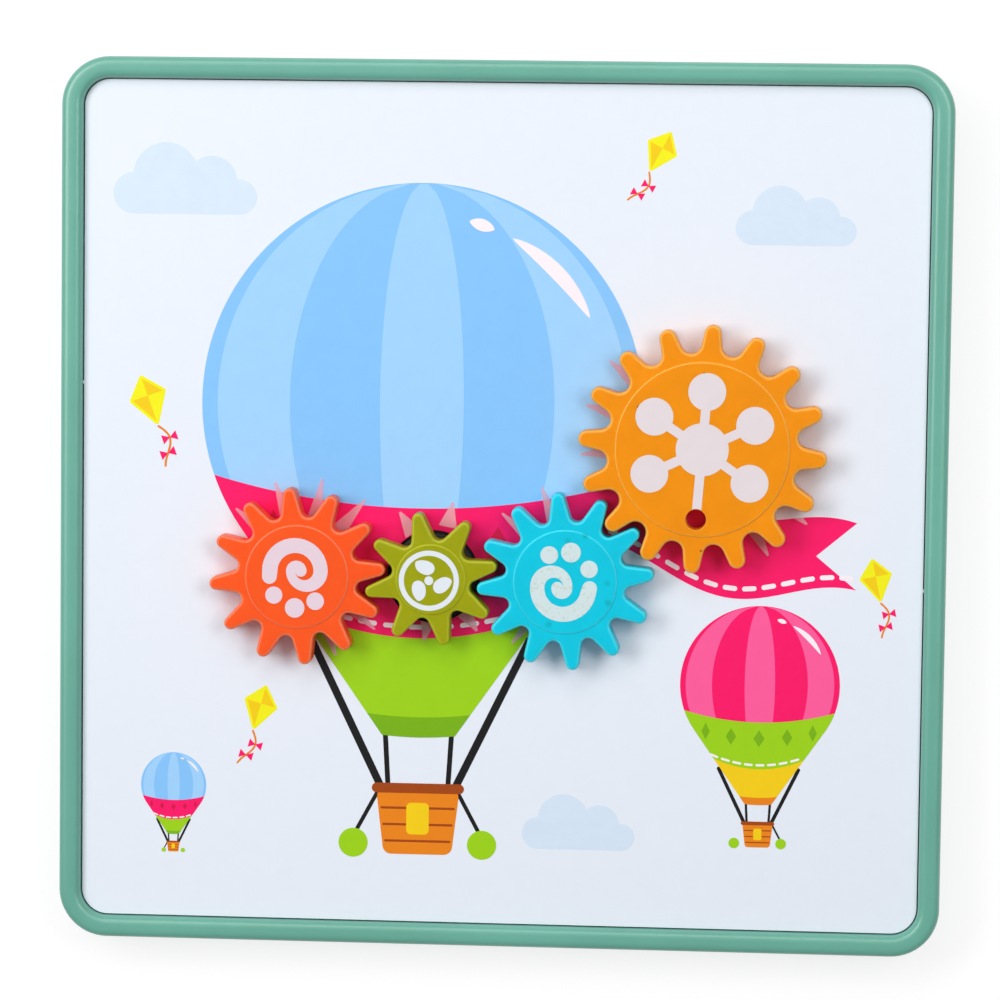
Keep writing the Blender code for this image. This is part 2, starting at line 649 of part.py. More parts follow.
def make_gear(parts, cutters, colour, teeth, centre, turn, finish):
    """One moulded gear: toothed body, raised disc, hollow and ribbed underside, snap bore."""
    place_at = (*centre, 0.0)
    body = plate_mesh(f"{colour}_gear", [tooth_outline(teeth, turn)], GEAR_BASE, GEAR_TOP, EDGE_CHAMFER)
    gear = place(body, f"{colour}_gear", parts, place_at, finish)

    disc_radius = root_radius(teeth) - TOOTH_FORMS[teeth]["disc"] * MODULE
    disc_top = GEAR_TOP + DISC_HEIGHT
    disc = turned_mesh("disc", [
        (0.0, disc_top),
        (disc_radius - DISC_CHAMFER, disc_top),
        (disc_radius, disc_top - DISC_CHAMFER),
        (disc_radius, GEAR_CEILING + GEAR_TOP_WALL / 2),
        (0.0, GEAR_CEILING + GEAR_TOP_WALL / 2),
    ], DISC_STEPS)
    combine(gear, hide_cutter(place(disc, f"{colour}_disc", cutters, place_at)), "UNION")

    first_rib = turn
    cranked = colour == CRANKED_GEAR
    if cranked:
        first_rib += CRANK_HOLE_TOOTH * 2 * math.pi / teeth
        crank_spot = (CRANK_HOLE_REACH * math.cos(first_rib), CRANK_HOLE_REACH * math.sin(first_rib))
    rim = root_radius(teeth) - GEAR_RIM_WALL
    pockets = [
        plate_mesh(
            "pocket",
            [pocket_outline(HUB_RADIUS, rim, number, first_rib)],
            GEAR_BASE - CUT_OVER,
            GEAR_CEILING,
        )
        for number in range(GEAR_RIBS)
    ]
    hollow = hide_cutter(place(joined_mesh("hollow", pockets), f"{colour}_hollow", cutters, place_at))
    if cranked:
        boss = moved(turned_mesh("crank_boss", [
            (0.0, GEAR_CEILING + CUT_OVER),
            (CRANK_HOLE_RADIUS + CRANK_BOSS_WALL, GEAR_CEILING + CUT_OVER),
            (CRANK_HOLE_RADIUS + CRANK_BOSS_WALL, GEAR_BASE - 2 * CUT_OVER),
            (0.0, GEAR_BASE - 2 * CUT_OVER),
        ], ROUND_STEPS), *crank_spot)
        combine(hollow, hide_cutter(place(boss, "crank_boss", cutters, place_at)), "DIFFERENCE")
    combine(gear, hollow, "DIFFERENCE")

    groove_half = SNAP_BEAD_TAPER + CLEARANCE
    bore = turned_mesh("bore", [
        (0.0, GEAR_CEILING),
        (BORE_RADIUS, GEAR_CEILING),
        (BORE_RADIUS, SNAP_LEVEL + groove_half),
        (BORE_RADIUS + SNAP_BEAD, SNAP_LEVEL),
        (BORE_RADIUS, SNAP_LEVEL - groove_half),
        (BORE_RADIUS, GEAR_BASE - CUT_OVER),
        (0.0, GEAR_BASE - CUT_OVER),
    ], ROUND_STEPS)
    combine(gear, hide_cutter(place(bore, f"{colour}_bore", cutters, place_at)), "DIFFERENCE")

    if cranked:
        mouth = CRANK_HOLE_RADIUS + CRANK_HOLE_CHAMFER
        hole = moved(turned_mesh("crank_hole", [
            (0.0, disc_top + CUT_OVER),
            (mouth + CUT_OVER, disc_top + CUT_OVER),
            (CRANK_HOLE_RADIUS, disc_top - CRANK_HOLE_CHAMFER),
            (CRANK_HOLE_RADIUS, GEAR_BASE - CUT_OVER),
            (0.0, GEAR_BASE - CUT_OVER),
        ], ROUND_STEPS), *crank_spot)
        combine(gear, hide_cutter(place(hole, "crank_hole", cutters, place_at)), "DIFFERENCE")
    return gear


def build():
    """Make the whole puzzle."""
    parts, cutters = clear_scene()
    finishes = {name: make_material(name) for name in COLOURS}
    make_outer_frame(parts, finishes["frame_green"])
    make_back_cover(parts, cutters, finishes["board_black"])
    make_back_screws(parts, cutters, finishes["screw_steel"])
    make_peg_board(parts, cutters, finishes["board_black"])
    make_picture_card(parts, finishes["card_white"])
    turns = tooth_turns()
    for colour, teeth, column, row in GEAR_PLACES:
        centre = gear_centre(column, row)
        make_axle_peg(parts, cutters, colour, centre, finishes["board_black"])
        make_gear(parts, cutters, colour, teeth, centre, turns[colour], finishes[colour])


build()
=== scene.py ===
"""Gear puzzle, dressed: finer frame, card, pegs and gears, the card's printed picture,
the white prints on the gears, procedural materials, studio light and the camera.

Sizes are in millimetres, and MM turns them into metres where a mesh is made. The floor, the
lamps, the camera and the materials' relief are in metres, and noise scales are per metre.
+Z is out of the picture, +Y is up in the picture and +X is to its right.
"""
import math

import bmesh
import bpy
from mathutils import Matrix, Vector


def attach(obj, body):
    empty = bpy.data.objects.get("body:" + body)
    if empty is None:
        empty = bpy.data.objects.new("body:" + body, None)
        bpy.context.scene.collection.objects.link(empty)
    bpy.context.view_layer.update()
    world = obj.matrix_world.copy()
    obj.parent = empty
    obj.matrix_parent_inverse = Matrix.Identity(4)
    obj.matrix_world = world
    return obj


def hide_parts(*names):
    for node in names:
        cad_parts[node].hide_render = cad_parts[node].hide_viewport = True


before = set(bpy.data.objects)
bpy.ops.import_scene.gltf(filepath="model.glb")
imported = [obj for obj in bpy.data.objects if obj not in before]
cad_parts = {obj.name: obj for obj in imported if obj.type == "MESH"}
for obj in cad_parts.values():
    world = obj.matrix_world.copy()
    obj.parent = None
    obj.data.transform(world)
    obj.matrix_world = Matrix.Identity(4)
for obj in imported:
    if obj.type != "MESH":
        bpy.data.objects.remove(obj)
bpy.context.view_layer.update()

MM = 0.001
MERGE_DISTANCE = 1e-6       # metres, between points that are one
SHARP_ANGLE = 32            # degrees; edges under it are shaded smooth
FACE_WEIGHT = 80            # of large faces in the shading beside them

# Sizes taken over from the CAD
HALF_SIDE = 132.5
CORNER_RADIUS = 14.5
BEZEL_WIDTH = 6.4
BEAD_HEIGHT = 3.2
FRAME_DEPTH = 18.0
FRAME_WALL = 1.8
LEDGE_REACH = 4.0
FOOT_CHAMFER = 0.5
WINDOW_RADIUS = 13.9
FLANGE_GAP = 1.0
GRID_PITCH = 40.0
GRID_DROP = 1.3
MODULE = 4.0
TIP_CLEARANCE = 1.8
CLEARANCE = 0.3
AXLE_RADIUS = 3.2
PEG_PLUG_RADIUS = 4.0
PLUG_CHAMFER = 1.0
PEG_SLOT_WIDTH = 0.8
PEG_SLOT_DEPTH = 4.2
SNAP_BEAD = 0.5
SNAP_BEAD_TAPER = 1.0
BORE_RADIUS = 3.5
HUB_RADIUS = 6.6
MOUTH_CHAMFER = 0.4         # of the bore and the crank hole
GEAR_RIM_WALL = 2.2
GEAR_RIB_WIDTH = 1.6
GEAR_RIBS = 6
CRANK_HOLE_RADIUS = 3.0
CRANK_HOLE_REACH = 20.8
CRANK_HOLE_TOOTH = 11       # the tooth outside the hole, counted from the first
CRANK_BOSS_WALL = 2.0
TOOTH_FORMS = {
    8: {"tip": 1.00, "share": 0.380, "slope": math.radians(13.5), "disc": 0.30},
    12: {"tip": 0.60, "share": 0.335, "slope": math.radians(11.4), "disc": 0.60},
    16: {"tip": 1.20, "share": 0.450, "slope": math.radians(8.2), "disc": 0.60},
}
GEARS = {                   # teeth, and column and row on the grid of pegs
    "coral": (12, -1.5, -0.5),
    "olive": (8, -0.5, -0.5),
    "cyan": (12, 0.5, -0.5),
    "orange": (16, 1.5, 0.5),
}
FIRST_TOOTH_TURN = math.radians(5.8)
OLIVE_LAG = math.radians(-1.2)

# Levels above the back
LEDGE_BASE, LEDGE_TOP = 8.2, 10.4
CARD_BASE, CARD_TOP = 13.5, 14.5
FLANGE_BASE, FLANGE_TOP = 13.5, 14.9
PLUG_BASE = 4.6
GEAR_BASE, GEAR_TOP = 15.2, 23.6
GEAR_CEILING = 21.4
AXLE_TOP = 21.0
SNAP_LEVEL = 19.4
DISC_TOP = 24.1

# What is finer here than in the CAD
CROWN_POWER = 0.72          # 1 is a round rail, less is a flatter one
CROWN_STEPS = 32
SHEET_GAP = 0.34            # the card's visible gap in the frame
SHEET_ROUNDING = 0.06
PEG_ROUNDING = 0.3
FLANGE_EASE = (0.08, 0.1)   # a point on the flange's rounding: inward, down
SNAP_SHOULDER = (0.375, 0.35)           # one on the snap bead: outward, up
EDGE_ROUNDING = 1.0         # of the gears' teeth
DISC_EDGE = ((0.62, 0.0), (0.40, 0.05), (0.22, 0.17), (0.06, 0.34))    # inward, down
DISC_FOOT = 0.04            # the disc's side ends this far under the teeth's face
DISC_ROOT = 1.1             # and its solid this far
NICKS = ((-1, 34.7), (1, -23.3))        # side of the card, and place along it
NICK_LENGTH, NICK_REACH, NICK_ROOT = 1.0, 0.30, 0.5     # along the side, out and in
NICK_BASE, NICK_TOP = 13.9, 14.3
PRINT_DEPTH = 0.15          # the printed layers lie in the card's topmost part
SHEET_TOP = CARD_TOP - PRINT_DEPTH
INK_STEP = 0.02             # one printed layer over the next
INK_SINK = 0.01             # each starts this far in the card
SYMBOL_PROUD = 0.03         # white prints on the gears
CUT_OVER = 1.0              # tools reach past what they cut

# Printed gears, behind the real ones
SHADOW_BASE = 0.105         # over every ink that they cross
SHADOW_SHIFT = 1.5          # up and right of the real gears
SHADOW_OVER = 1.2           # longer teeth than the real ones
SHADOW_ROOM = 0.7           # kept round the next gear
SHADOW_TURN = 0.47          # of a pitch, past the real teeth


def tone(red, green, blue):
    """A colour given as it shows on screen, 0 to 255, in linear values."""
    values = []
    for level in (red, green, blue):
        share = level / 255
        values.append(share / 12.92 if share <= 0.04045 else ((share + 0.055) / 1.055) ** 2.4)
    return (*values, 1.0)


def grey(value):
    """A grey in linear values."""
    return (value, value, value, 1.0)


def scaled(colour, share):
    """A colour made lighter or darker."""
    return (*(min(1.0, value * share) for value in colour[:3]), 1.0)


# Mesh helpers; outlines are lists of (x, y)

def evaluated_mesh(source, name):
    """The object's mesh with its modifiers applied; the object goes."""
    bpy.context.view_layer.update()
    graph = bpy.context.evaluated_depsgraph_get()
    mesh = bpy.data.meshes.new_from_object(source.evaluated_get(graph))
    mesh.name = name
    bpy.data.objects.remove(source, do_unlink=True)
    return mesh


def link(name, data):
    """A new object in the scene."""
    made = bpy.data.objects.new(name, data)
    bpy.context.scene.collection.objects.link(made)
    return made


def finished_mesh(name, work):
    """A mesh from the bmesh that was worked on."""
    mesh = bpy.data.meshes.new(name)
    work.to_mesh(mesh)
    work.free()
    return mesh


def plate_mesh(name, outlines, base, top, rounding=0.0, segments=4):
    """A flat plate between two levels; outlines after the first are holes in it."""
    data = bpy.data.curves.new(name, "CURVE")
    data.dimensions = "2D"
    data.fill_mode = "BOTH"
    for outline in outlines:
        spline = data.splines.new("POLY")
        spline.points.add(len(outline) - 1)
        for point, (x, y) in zip(spline.points, outline):
            point.co = (x * MM, y * MM, 0.0, 1.0)
        spline.use_cyclic_u = True
    data.extrude = ((top - base) / 2 - rounding) * MM
    if rounding:
        data.bevel_depth = rounding * MM
        data.bevel_resolution = segments - 1
        data.offset = -rounding * MM
    mesh = evaluated_mesh(link(name, data), name)
    work = bmesh.new()
    work.from_mesh(mesh)
    bmesh.ops.remove_doubles(work, verts=work.verts, dist=MERGE_DISTANCE)
    bmesh.ops.recalc_face_normals(work, faces=work.faces)
    bmesh.ops.translate(work, verts=work.verts, vec=(0, 0, (top + base) / 2 * MM))
    work.to_mesh(mesh)
    work.free()
    bpy.data.curves.remove(data)
    return mesh


def turned_mesh(name, profile, steps):
    """A solid of revolution about Z from (radius, level) pairs, top to bottom; flat ends."""
    work = bmesh.new()
    rings = []
    for radius, level in [(0, profile[0][1])] + profile + [(0, profile[-1][1])]:
        if radius == 0:
            rings.append([work.verts.new((0, 0, level * MM))])
            continue
        rings.append([
            work.verts.new((
                radius * MM * math.cos(2 * math.pi * step / steps),
                radius * MM * math.sin(2 * math.pi * step / steps),
                level * MM,
            ))
            for step in range(steps)
        ])
    for upper, lower in zip(rings, rings[1:]):
        for step in range(steps):
            after = (step + 1) % steps
            if len(upper) == 1:
                work.faces.new((upper[0], lower[step], lower[after]))
            elif len(lower) == 1:
                work.faces.new((upper[step], lower[0], upper[after]))
            else:
                work.faces.new((upper[step], lower[step], lower[after], upper[after]))
    bmesh.ops.recalc_face_normals(work, faces=work.faces)
    return finished_mesh(name, work)


def box_mesh(name, low, high):
    """A box between two corners."""
    work = bmesh.new()
    bmesh.ops.create_cube(work, size=1.0)
    low, high = Vector(low) * MM, Vector(high) * MM
    bmesh.ops.scale(work, vec=high - low, verts=work.verts)
    bmesh.ops.translate(work, vec=(high + low) / 2, verts=work.verts)
    return finished_mesh(name, work)


def joined(name, meshes):
    """Several meshes in one."""
    work = bmesh.new()
    for mesh in meshes:
        work.from_mesh(mesh)
        bpy.data.meshes.remove(mesh)
    return finished_mesh(name, work)


def shifted(mesh, x, y, turn=0.0):
    """Turn a mesh about Z, then move it in plan."""
    mesh.transform(Matrix.Translation((x * MM, y * MM, 0)) @ Matrix.Rotation(turn, 4, "Z"))
    return mesh


def combined(name, mesh, steps):
    """A mesh after Boolean steps, each an operation and a tool mesh."""
    target = link(name, mesh)
    tools = []
    for operation, tool_mesh in steps:
        tool = link(name + "_tool", tool_mesh)
        step = target.modifiers.new(operation.lower(), "BOOLEAN")
        step.operation = operation
        step.object = tool
        step.solver = "EXACT"
        step.use_self = operation == "UNION"
        tools.append(tool)
    made = evaluated_mesh(target, name)
    for tool in tools:
        bpy.data.objects.remove(tool, do_unlink=True)
    return made


def piece(name, mesh, material, body, replaces=(), at=(0.0, 0.0)):
    """A finished piece of the object that moves with a body."""
    made = link(name, mesh)
    made.location = (at[0] * MM, at[1] * MM, 0)
    mesh.materials.clear()
    mesh.materials.append(material)
    mesh.shade_smooth()
    mesh.set_sharp_from_angle(angle=math.radians(SHARP_ANGLE))
    weigh = made.modifiers.new("even_shading", "WEIGHTED_NORMAL")
    weigh.keep_sharp = True
    weigh.weight = FACE_WEIGHT
    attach(made, body)
    if replaces:
        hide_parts(*replaces)


# Outlines

def polar(radius, angle):
    """A point by its radius and its angle in radians."""
    return (radius * math.cos(angle), radius * math.sin(angle))


def arc(x, y, radius, start, end, steps):
    """Points along an arc; angles in degrees, anticlockwise from +X."""
    points = []
    for step in range(steps + 1):
        angle = math.radians(start + (end - start) * step / steps)
        points.append((x + radius * math.cos(angle), y + radius * math.sin(angle)))
    return points


def circle(x, y, radius, steps=48):
    """Points round a circle."""
    return arc(x, y, radius, 0, 360, steps)[:-1]


def capsule(start, end, radius, steps=8):
    """A bar with round ends."""
    angle = math.degrees(math.atan2(end[1] - start[1], end[0] - start[0]))
    return (
        arc(*end, radius, angle - 90, angle + 90, steps)
        + arc(*start, radius, angle + 90, angle + 270, steps)
    )


def rounded_outline(corners, radius, steps=6):
    """A convex polygon with round corners; corners run anticlockwise."""
    points = []
    count = len(corners)
    for number, corner in enumerate(corners):
        here = Vector(corner)
        before = (Vector(corners[number - 1]) - here).normalized()
        after = (Vector(corners[(number + 1) % count]) - here).normalized()
        half_angle = before.angle(after) / 2
        middle = here + (before + after).normalized() * (radius / math.sin(half_angle))
        first = middle - here - before * before.dot(middle - here)
        last = middle - here - after * after.dot(middle - here)
        start = math.degrees(math.atan2(-first.y, -first.x))
        end = math.degrees(math.atan2(-last.y, -last.x))
        while end < start:
            end += 360
        points += arc(middle.x, middle.y, radius, start, end, steps)
    return points


def placed(outline, x=0.0, y=0.0, size=1.0, turn=0.0):
    """An outline turned, scaled and moved; the turn is in radians."""
    cos, sin = math.cos(turn), math.sin(turn)
    return [
        (x + size * (px * cos - py * sin), y + size * (px * sin + py * cos)) for px, py in outline
    ]


def rounded_square(inset, steps=14):
    """The board's outline, drawn in by an inset; the corner arcs share their middles."""
    reach = HALF_SIDE - CORNER_RADIUS
    radius = CORNER_RADIUS - inset
    points = []
    for quarter, (side_x, side_y) in enumerate(((1, 1), (-1, 1), (-1, -1), (1, -1))):
        start = 90 * quarter
        points += arc(reach * side_x, reach * side_y, radius, start, start + 90, steps)
    return points


def gear_centre(colour):
    """A gear's place on the peg grid."""
    _, column, row = GEARS[colour]
    return column * GRID_PITCH, row * GRID_PITCH - GRID_DROP


def tip_radius(teeth):
    """Out to the tips of the teeth."""
    return MODULE * teeth / 2 + TOOTH_FORMS[teeth]["tip"] * MODULE


def root_radius(teeth):
    """In to the valleys, clear of the tips of every gear this one meshes with."""
    rooms = []
    places = list(GEARS.values())
    for here, there in zip(places, places[1:]):
        distance = math.hypot(here[1] - there[1], here[2] - there[2]) * GRID_PITCH
        for own, mate in ((here, there), (there, here)):
            if own[0] == teeth:
                rooms.append(distance - tip_radius(mate[0]) - TIP_CLEARANCE)
    return min(rooms)


def tooth_turns():
    """Each gear's first tooth, as an angle from +X: every tooth faces a valley of its mate."""
    names = list(GEARS)
    turns = {names[0]: FIRST_TOOTH_TURN}
    for here, there in zip(names, names[1:]):
        own, mate = GEARS[here], GEARS[there]
        line = math.atan2(mate[2] - own[2], mate[1] - own[1])
        share = (turns[here] - line) / (2 * math.pi / own[0])
        mate_pitch = 2 * math.pi / mate[0]
        turns[there] = (line + math.pi + (0.5 - share) * mate_pitch) % mate_pitch
    turns["olive"] += OLIVE_LAG
    return turns


def crank_angle(turn):
    """The crank hole's direction from the orange gear's middle; turn is its first tooth's."""
    return turn + CRANK_HOLE_TOOTH * 2 * math.pi / GEARS["orange"][0]


def tooth_arc(line, reach, radius, facing, half, steps):
    """An arc about a point out on a tooth's or a valley's middle line; angles in radians."""
    x, y = polar(reach, line)
    turns = [facing + half * (2 * step / steps - 1) for step in range(steps + 1)]
    return [(x + radius * math.cos(angle), y + radius * math.sin(angle)) for angle in turns]


def tooth_outline(teeth, turn, tip_steps=12, valley_steps=9):
    """Toothed outline: a round tip, straight flanks and a round valley for every tooth."""
    form = TOOTH_FORMS[teeth]
    pitch = MODULE * teeth / 2
    tip = tip_radius(teeth)
    root = root_radius(teeth)
    slope = form["slope"]
    half_pitch = math.pi / teeth
    half_width = form["share"] * math.pi * MODULE / 2
    flank = half_width * math.cos(slope) + pitch * math.sin(slope)
    tip_round = (flank - tip * math.sin(slope)) / (1 - math.sin(slope))
    spread = math.sin(slope + half_pitch)
    valley_round = (root * spread - flank) / (1 - spread)
    facing = math.pi / 2 - slope
    sweep = facing - half_pitch
    points = []
    for tooth in range(teeth):
        middle = turn + 2 * half_pitch * tooth
        points += tooth_arc(middle, tip - tip_round, tip_round, middle, facing, tip_steps)
        valley = middle + half_pitch
        points += tooth_arc(
            valley, root + valley_round, valley_round, valley + math.pi, -sweep, valley_steps
        )
    return points


# Materials

NOISE_LOW, NOISE_HIGH = 0.30, 0.70      # noise mostly stays between these
EDGE_HIGHLIGHT = 0.45            # strength of the painted highlight on rounded edges
SPOTS = (260, 0.12, 0.06, 0.6)          # specks' scale, size, share and core
GEAR_ROUGHNESS = 0.34
PAPER_ROUGHNESS = 0.42


def add_node(tree, kind, inputs=None, **settings):
    """A new node; each input is a value for its socket, or the output that feeds it."""
    made = tree.nodes.new(kind)
    for name, value in settings.items():
        setattr(made, name, value)
    for name, value in (inputs or {}).items():
        if isinstance(value, bpy.types.NodeSocket):
            tree.links.new(value, made.inputs[name])
        else:
            made.inputs[name].default_value = value
    return made


class Finish:
    """A material in the making: its shader and the object's own coordinates."""

    def __init__(self, name, **inputs):
        self.material = bpy.data.materials.new(name)
        self.material.use_nodes = True
        self.tree = self.material.node_tree
        self.shader = self.tree.nodes["Principled BSDF"]
        for socket, value in inputs.items():
            self.shader.inputs[socket.replace("_", " ")].default_value = value
        self.places = self.output("Object", "ShaderNodeTexCoord", {})

    def output(self, name, kind, inputs, **settings):
        """One output of a new node."""
        return add_node(self.tree, kind, inputs, **settings).outputs[name]

    def feed(self, socket, source):
        """Feed a socket of the shader."""
        self.tree.links.new(source, self.shader.inputs[socket])

    def noise(self, scale, detail, stretch=None):
        """Noise over the surface; scale is in repeats per metre."""
        places = self.places
        if stretch:
            places = self.output("Vector", "ShaderNodeMapping", {
                "Vector": places, "Scale": stretch,
            })
        return self.output("Fac", "ShaderNodeTexNoise", {
            "Vector": places, "Scale": scale, "Detail": detail,
        })

    def ramp(self, source, *stops):
        """A colour ramp over a 0 to 1 value; stops are (place, colour)."""
        made = add_node(self.tree, "ShaderNodeValToRGB", {"Fac": source})
        band = made.color_ramp
        while len(band.elements) < len(stops):
            band.elements.new(0.5)
        for element, (spot, colour) in zip(band.elements, stops):
            element.position = spot
            element.color = colour
        return made.outputs["Color"]

    def mottled(self, colour, scale, detail, low, high):
        """A colour that drifts between a darker and a paler tone of itself."""
        return self.ramp(
            self.noise(scale, detail),
            (NOISE_LOW, scaled(colour, low)), (NOISE_HIGH, scaled(colour, high)),
        )

    def mix(self, base, over, share):
        """One colour laid over another by a 0 to 1 value."""
        return self.output(2, "ShaderNodeMix", {0: share, 6: base, 7: over}, data_type="RGBA")

    def specks(self, scale, size, share, core):
        """1 in a few small round spots, 0 elsewhere; a smaller core makes them softer."""
        cells = add_node(self.tree, "ShaderNodeTexVoronoi", {
            "Vector": self.places, "Scale": scale,
        })
        near = self.output("Result", "ShaderNodeMapRange", {
            "Value": cells.outputs["Distance"], "From Min": size, "From Max": size * core,
        })
        chance = self.output("Red", "ShaderNodeSeparateColor", {"Color": cells.outputs["Color"]})
        few = self.output("Value", "ShaderNodeMath", {0: chance, 1: share}, operation="LESS_THAN")
        return self.output("Value", "ShaderNodeMath", {0: near, 1: few}, operation="MULTIPLY")

    def painted_edge_highlight(self):
        """A painted highlight: the set edge strength on the rounded edges between the upper faces
        and the sides, 0 on both.
        """
        normal = self.places.node.outputs["Normal"]
        upward = self.output("Z", "ShaderNodeSeparateXYZ", {"Vector": normal})
        return self.ramp(
            upward,
            (0.10, grey(0)), (0.45, grey(EDGE_HIGHLIGHT)), (0.90, grey(EDGE_HIGHLIGHT)), (0.995, grey(0)),
        )

    def vary_roughness(self, source, low, high):
        """Spread the roughness over a range by noise."""
        self.feed("Roughness", self.output("Result", "ShaderNodeMapRange", {
            "Value": source, "From Min": NOISE_LOW, "From Max": NOISE_HIGH,
            "To Min": low, "To Max": high,
        }))

    def bump(self, source, strength, distance):
        """Fine relief on the shader, on top of what it has."""
        inputs = {"Height": source, "Strength": strength, "Distance": distance}
        normal = self.shader.inputs["Normal"]
        if normal.is_linked:
            inputs["Normal"] = normal.links[0].from_socket
        self.feed("Normal", self.output("Normal", "ShaderNodeBump", inputs))


def gear_plastic(name, colour, deep, edge, spots=SPOTS, soil=0.35):
    """Satin moulded plastic that lets a little light in: rounded edges painted paler in the edge
    colour as a highlight, faint tool rings.
    """
    made = Finish(
        name, Roughness=GEAR_ROUGHNESS, Subsurface_Weight=0.18, Subsurface_Radius=deep[:3],
        Subsurface_Scale=0.004, Specular_IOR_Level=0.26,
    )
    body = made.mottled(colour, scale=90, detail=3.0, low=0.96, high=1.04)
    # painted highlight: the edge colour is laid on the rounded edges
    body = made.mix(body, edge, made.painted_edge_highlight())
    made.feed("Base Color", made.mix(body, scaled(deep, soil), made.specks(*spots)))
    wear = made.noise(scale=700, detail=3.0)
    made.vary_roughness(wear, GEAR_ROUGHNESS - 0.05, GEAR_ROUGHNESS + 0.08)
    rings = made.output("Fac", "ShaderNodeTexWave", {
        "Vector": made.places, "Scale": 420, "Distortion": 0.6,
    }, wave_type="RINGS", rings_direction="Z")
    made.bump(rings, strength=0.05, distance=0.00002)
    made.bump(made.noise(scale=2200, detail=3.0), strength=0.10, distance=0.00005)
    return made.material


def frame_plastic():
    """Sage green plastic with a fine skin and soft draw marks."""
    green = tone(102, 172, 153)
    made = Finish("frame_green", Roughness=0.34, Specular_IOR_Level=0.78)
    body = made.mottled(green, scale=26, detail=4.0, low=0.94, high=1.06)
    dirt = made.specks(scale=110, size=0.05, share=0.06, core=0.6)
    made.feed("Base Color", made.mix(body, scaled(green, 0.45), dirt))
    made.vary_roughness(made.noise(scale=420, detail=4.0), 0.32, 0.37)
    made.bump(made.noise(scale=60, detail=2.0), strength=0.05, distance=0.00025)
    made.bump(made.noise(scale=1900, detail=3.0), strength=0.10, distance=0.00005)
    return made.material


def paper_coat(name, colour, opacity=1.0, depth=0.015, stain=None):
    """Varnished paperboard or the ink on it: fine fibre, a little mottle, stains where given."""
    made = Finish(name, Roughness=PAPER_ROUGHNESS, Specular_IOR_Level=0.30, Alpha=opacity)
    body = made.mottled(colour, scale=240, detail=4.0, low=1 - depth, high=1 + depth)
    if stain:
        blots = made.ramp(made.noise(scale=900, detail=5.0), (0.56, grey(0)), (0.74, grey(0.55)))
        body = made.mix(body, stain, blots)
    made.feed("Base Color", body)
    fibre = made.noise(scale=2600, detail=4.0, stretch=(1.0, 0.35, 1.0))
    made.vary_roughness(fibre, PAPER_ROUGHNESS - 0.06, PAPER_ROUGHNESS + 0.08)
    made.bump(fibre, strength=0.06, distance=0.00003)
    return made.material


def board_plastic():
    """Near-black plastic with a fine spark-eroded grain."""
    made = Finish("board_black", Roughness=0.52)
    made.feed("Base Color", made.mottled(
        tone(34, 36, 37), scale=40, detail=3.0, low=0.85, high=1.15
    ))
    grain = made.noise(scale=1500, detail=5.0)
    made.vary_roughness(grain, 0.46, 0.62)
    made.bump(grain, strength=0.30, distance=0.00008)
    return made.material


def screw_steel():
    """Plated steel with turning marks."""
    made = Finish("screw_steel", Roughness=0.30, Metallic=1.0)
    made.feed("Base Color", made.mottled(
        tone(196, 196, 200), scale=700, detail=3.0, low=0.82, high=1.05
    ))
    marks = made.noise(scale=3500, detail=2.0, stretch=(1.0, 1.0, 6.0))
    made.vary_roughness(marks, 0.22, 0.40)
    made.bump(marks, strength=0.12, distance=0.00003)
    return made.material


GREEN = frame_plastic()
BLACK = board_plastic()
STEEL = screw_steel()
PAPER = paper_coat("card_paper", tone(232, 238, 248), depth=0.006)
GEAR_LOOKS = {              # colour, depth and the painted edge highlight's colour; the cyan one has large soft spots
    "coral": (tone(255, 88, 26), tone(255, 60, 20), tone(255, 158, 120)),
    "olive": (tone(157, 161, 0), tone(190, 180, 0), tone(206, 210, 50)),
    "cyan": (
        tone(0, 200, 226), tone(0, 190, 190), tone(90, 240, 255), (170, 0.26, 0.24, 0.05), 0.62,
    ),
    "orange": (tone(243, 146, 0), tone(255, 120, 0), tone(255, 206, 100)),
}
GEAR_PLASTICS = {
    colour: gear_plastic(f"gear_{colour}", *look) for colour, look in GEAR_LOOKS.items()
}


# Frame, card and the CAD parts that stay

def make_frame():
    """The green frame: its section swept round the rounded square, with a finer bead."""
    spring = FRAME_DEPTH - BEAD_HEIGHT
    half_bezel = BEZEL_WIDTH / 2
    hollow = half_bezel - FRAME_WALL
    section = [(FOOT_CHAMFER, 0.0), (0.0, FOOT_CHAMFER)]
    for step in range(CROWN_STEPS + 1):
        angle = math.pi * (1 - step / CROWN_STEPS)
        across = math.copysign(abs(math.cos(angle)) ** CROWN_POWER, math.cos(angle))
        rise = BEAD_HEIGHT * math.sin(angle) ** CROWN_POWER
        section.append((half_bezel + half_bezel * across, spring + rise))
    section += [
        (BEZEL_WIDTH, LEDGE_TOP), (BEZEL_WIDTH + LEDGE_REACH, LEDGE_TOP),
        (BEZEL_WIDTH + LEDGE_REACH, LEDGE_BASE), (BEZEL_WIDTH - FRAME_WALL, LEDGE_BASE),
        (half_bezel + hollow, spring), (half_bezel, FRAME_DEPTH - FRAME_WALL),
        (half_bezel - hollow, spring), (FRAME_WALL, 0.0),
    ]
    work = bmesh.new()
    rings = [
        [work.verts.new((x * MM, y * MM, level * MM)) for x, y in rounded_square(inset)]
        for inset, level in section
    ]
    for here, there in zip(rings, rings[1:] + rings[:1]):
        for step in range(len(here)):
            after = (step + 1) % len(here)
            work.faces.new((here[step], here[after], there[after], there[step]))
    bmesh.ops.recalc_face_normals(work, faces=work.faces)
    mesh = finished_mesh("bead_frame", work)
    piece("bead_frame", mesh, GREEN, "tray", ("outer_frame",))


